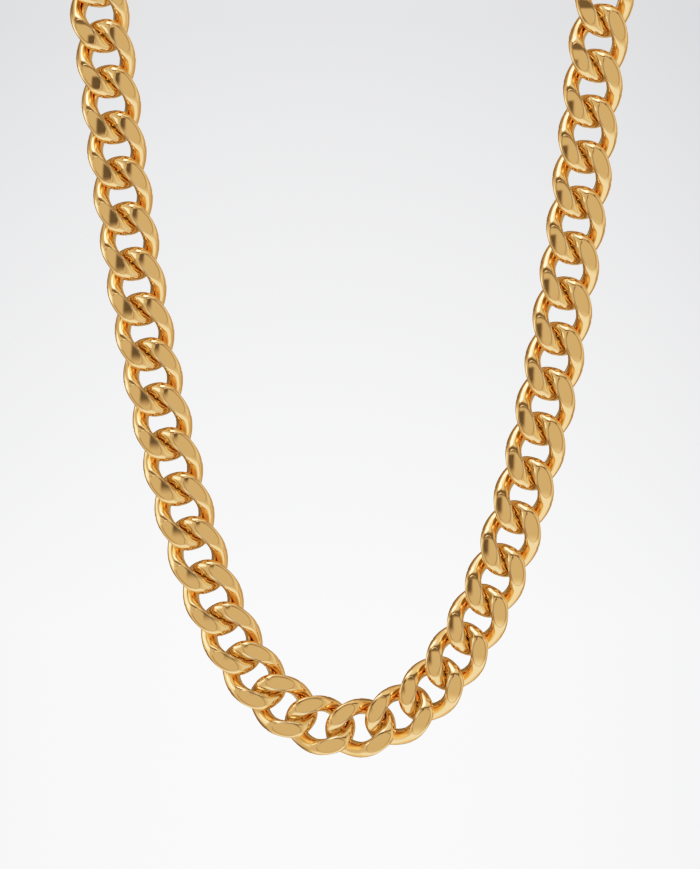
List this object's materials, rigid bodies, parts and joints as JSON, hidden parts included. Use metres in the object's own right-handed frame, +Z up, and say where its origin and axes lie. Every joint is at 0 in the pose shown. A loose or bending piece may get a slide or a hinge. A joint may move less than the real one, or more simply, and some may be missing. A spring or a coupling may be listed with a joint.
{
  "type": "curb chain necklace",
  "caption": "Heavy curb chain necklace of twisted round-wire links with flat ground faces, closed behind the neck by a plain barrel clasp",
  "frame": {"origin": "on the neck side of the clasp's barrel, at the height of its axis, where the necklace hangs on the nape", "axes": "+Z up, the worn front faces -Y, +X towards the wearer's left"},
  "size_m": [0.1256, 0.0955, 0.2125],
  "materials": {
    "gold": "polished yellow gold plate, softly polished on the ground faces"
  },
  "bodies": {
    "root": {"left_chain": "gold", "right_chain": "gold", "clasp": "gold"}
  },
  "joints": []
}
